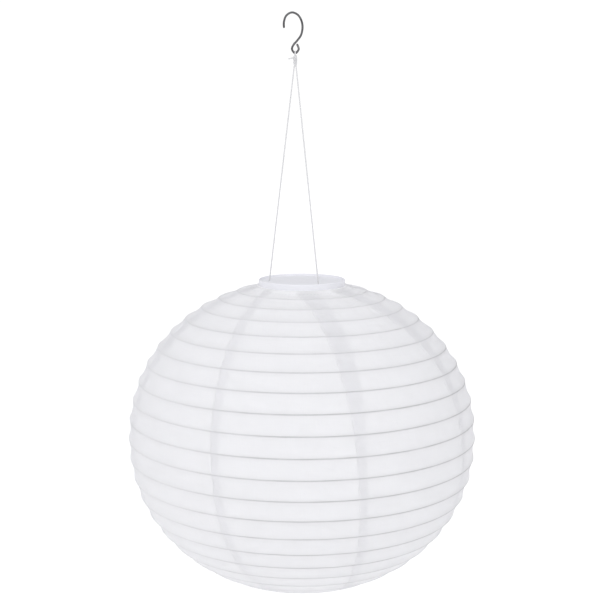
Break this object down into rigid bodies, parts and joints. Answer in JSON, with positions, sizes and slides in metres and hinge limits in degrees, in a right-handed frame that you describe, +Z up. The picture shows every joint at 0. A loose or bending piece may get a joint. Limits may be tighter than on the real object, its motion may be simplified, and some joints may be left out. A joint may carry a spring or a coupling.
{
  "type": "accordion lantern",
  "caption": "Hanging accordion globe lantern: cloth gores over wire hoops that fold up, closed cap with a battery light, string legs and a wire hook.",
  "frame": {"origin": "seat of the hook, the top of the inside of its bend, where it hangs on a rod", "axes": "+Z up along the hanging axis; front is -Y, the side seen face on, with the flat of the hook across it; +X to the right"},
  "size_m": [0.3, 0.3, 0.4894],
  "materials": {
    "hook_wire": "dark plated wire",
    "string": "twisted white string",
    "cap": "moulded, satin",
    "hoop_wire": "drawn spring wire",
    "hem": "woven, sewn",
    "shade_cloth": "fine plain weave, slightly translucent",
    "box": "moulded",
    "screw": "zinc plated",
    "cell": "plain sleeve",
    "spring": "nickel plated",
    "contact": "sheet",
    "board": "lacquered board",
    "led": "phosphor resin",
    "diffuser": "frosted",
    "switch": "moulded"
  },
  "bodies": {
    "hook": {"hook": "hook_wire"},
    "tie": {"string_tie": "string"},
    "lantern": {"string_leg_left": "string", "string_leg_front": "string", "string_leg_rear": "string", "cap": "cap", "top_hoop": "hoop_wire", "top_hem": "hem", "gore_1": "shade_cloth", "gore_2": "shade_cloth", "gore_3": "shade_cloth", "gore_4": "shade_cloth", "gore_5": "shade_cloth", "gore_6": "shade_cloth", "gore_7": "shade_cloth", "gore_8": "shade_cloth", "battery_box": "box", "box_screws": "screw", "cells": "cell", "contact_springs": "spring", "contact_plates": "contact", "lid_pin": "screw"},
    "bottom": {"bottom_hoop": "hoop_wire", "bottom_hem": "hem"},
    "lid": {"light_lid": "box", "lid_contacts": "contact", "led_board": "board", "leds": "led", "diffuser": "diffuser", "switch_body": "switch"},
    "switch": {"switch_knob": "switch"},
    "rib_01": {"rib_01": "hoop_wire"},
    "rib_02": {"rib_02": "hoop_wire"},
    "rib_03": {"rib_03": "hoop_wire"},
    "rib_04": {"rib_04": "hoop_wire"},
    "rib_05": {"rib_05": "hoop_wire"},
    "rib_06": {"rib_06": "hoop_wire"},
    "rib_07": {"rib_07": "hoop_wire"},
    "rib_08": {"rib_08": "hoop_wire"},
    "rib_09": {"rib_09": "hoop_wire"},
    "rib_10": {"rib_10": "hoop_wire"},
    "rib_11": {"rib_11": "hoop_wire"},
    "rib_12": {"rib_12": "hoop_wire"},
    "rib_13": {"rib_13": "hoop_wire"},
    "rib_14": {"rib_14": "hoop_wire"},
    "rib_15": {"rib_15": "hoop_wire"},
    "rib_16": {"rib_16": "hoop_wire"},
    "rib_17": {"rib_17": "hoop_wire"},
    "rib_18": {"rib_18": "hoop_wire"},
    "rib_19": {"rib_19": "hoop_wire"},
    "rib_20": {"rib_20": "hoop_wire"},
    "rib_21": {"rib_21": "hoop_wire"}
  },
  "joints": [
    {"name": "tie_swing", "type": "hinge", "parent": "hook", "child": "tie", "pos_m": [0.0029, 0, -0.0325], "axis": [1, 0, 0], "range_deg": [-30, 30]},
    {"name": "lantern_swing", "type": "hinge", "parent": "tie", "child": "lantern", "pos_m": [0.0029, 0, -0.043], "axis": [0, 1, 0], "range_deg": [-20, 20]},
    {"name": "shade_fold", "type": "slide", "parent": "lantern", "child": "bottom", "axis": [0, 0, 1], "range_m": [0, 0.2211], "deforming": ["gore_1", "gore_2", "gore_3", "gore_4", "gore_5", "gore_6", "gore_7", "gore_8"]},
    {"name": "lid_open", "type": "hinge", "parent": "lantern", "child": "lid", "pos_m": [0.0085, 0.0255, -0.2508], "axis": [1, 0, 0], "range_deg": [0, 80]},
    {"name": "switch_slide", "type": "slide", "parent": "lid", "child": "switch", "axis": [1, 0, 0], "range_m": [0, 0.003]},
    {"name": "rib_01_rise", "type": "slide", "parent": "lantern", "child": "rib_01", "axis": [0, 0, 1], "range_m": [0, 0.00373]},
    {"name": "rib_02_rise", "type": "slide", "parent": "lantern", "child": "rib_02", "axis": [0, 0, 1], "range_m": [0, 0.00888]},
    {"name": "rib_03_rise", "type": "slide", "parent": "lantern", "child": "rib_03", "axis": [0, 0, 1], "range_m": [0, 0.01548]},
    {"name": "rib_04_rise", "type": "slide", "parent": "lantern", "child": "rib_04", "axis": [0, 0, 1], "range_m": [0, 0.02353]},
    {"name": "rib_05_rise", "type": "slide", "parent": "lantern", "child": "rib_05", "axis": [0, 0, 1], "range_m": [0, 0.03298]},
    {"name": "rib_06_rise", "type": "slide", "parent": "lantern", "child": "rib_06", "axis": [0, 0, 1], "range_m": [0, 0.04373]},
    {"name": "rib_07_rise", "type": "slide", "parent": "lantern", "child": "rib_07", "axis": [0, 0, 1], "range_m": [0, 0.05565]},
    {"name": "rib_08_rise", "type": "slide", "parent": "lantern", "child": "rib_08", "axis": [0, 0, 1], "range_m": [0, 0.06854]},
    {"name": "rib_09_rise", "type": "slide", "parent": "lantern", "child": "rib_09", "axis": [0, 0, 1], "range_m": [0, 0.08216]},
    {"name": "rib_10_rise", "type": "slide", "parent": "lantern", "child": "rib_10", "axis": [0, 0, 1], "range_m": [0, 0.09626]},
    {"name": "rib_11_rise", "type": "slide", "parent": "lantern", "child": "rib_11", "axis": [0, 0, 1], "range_m": [0, 0.11057]},
    {"name": "rib_12_rise", "type": "slide", "parent": "lantern", "child": "rib_12", "axis": [0, 0, 1], "range_m": [0, 0.12488]},
    {"name": "rib_13_rise", "type": "slide", "parent": "lantern", "child": "rib_13", "axis": [0, 0, 1], "range_m": [0, 0.13898]},
    {"name": "rib_14_rise", "type": "slide", "parent": "lantern", "child": "rib_14", "axis": [0, 0, 1], "range_m": [0, 0.1526]},
    {"name": "rib_15_rise", "type": "slide", "parent": "lantern", "child": "rib_15", "axis": [0, 0, 1], "range_m": [0, 0.16549]},
    {"name": "rib_16_rise", "type": "slide", "parent": "lantern", "child": "rib_16", "axis": [0, 0, 1], "range_m": [0, 0.17741]},
    {"name": "rib_17_rise", "type": "slide", "parent": "lantern", "child": "rib_17", "axis": [0, 0, 1], "range_m": [0, 0.18816]},
    {"name": "rib_18_rise", "type": "slide", "parent": "lantern", "child": "rib_18", "axis": [0, 0, 1], "range_m": [0, 0.19761]},
    {"name": "rib_19_rise", "type": "slide", "parent": "lantern", "child": "rib_19", "axis": [0, 0, 1], "range_m": [0, 0.20566]},
    {"name": "rib_20_rise", "type": "slide", "parent": "lantern", "child": "rib_20", "axis": [0, 0, 1], "range_m": [0, 0.21226]},
    {"name": "rib_21_rise", "type": "slide", "parent": "lantern", "child": "rib_21", "axis": [0, 0, 1], "range_m": [0, 0.21741]}
  ],
  "couplings": [
    {"joint": "rib_01_rise", "follows": "shade_fold", "ratio": 0.01677},
    {"joint": "rib_02_rise", "follows": "shade_fold", "ratio": 0.04005},
    {"joint": "rib_03_rise", "follows": "shade_fold", "ratio": 0.06992},
    {"joint": "rib_04_rise", "follows": "shade_fold", "ratio": 0.10633},
    {"joint": "rib_05_rise", "follows": "shade_fold", "ratio": 0.14906},
    {"joint": "rib_06_rise", "follows": "shade_fold", "ratio": 0.1977},
    {"joint": "rib_07_rise", "follows": "shade_fold", "ratio": 0.2516},
    {"joint": "rib_08_rise", "follows": "shade_fold", "ratio": 0.30989},
    {"joint": "rib_09_rise", "follows": "shade_fold", "ratio": 0.3715},
    {"joint": "rib_10_rise", "follows": "shade_fold", "ratio": 0.43526},
    {"joint": "rib_11_rise", "follows": "shade_fold", "ratio": 0.5},
    {"joint": "rib_12_rise", "follows": "shade_fold", "ratio": 0.56474},
    {"joint": "rib_13_rise", "follows": "shade_fold", "ratio": 0.6285},
    {"joint": "rib_14_rise", "follows": "shade_fold", "ratio": 0.69011},
    {"joint": "rib_15_rise", "follows": "shade_fold", "ratio": 0.7484},
    {"joint": "rib_16_rise", "follows": "shade_fold", "ratio": 0.8023},
    {"joint": "rib_17_rise", "follows": "shade_fold", "ratio": 0.85094},
    {"joint": "rib_18_rise", "follows": "shade_fold", "ratio": 0.89367},
    {"joint": "rib_19_rise", "follows": "shade_fold", "ratio": 0.93008},
    {"joint": "rib_20_rise", "follows": "shade_fold", "ratio": 0.95995},
    {"joint": "rib_21_rise", "follows": "shade_fold", "ratio": 0.98323}
  ]
}
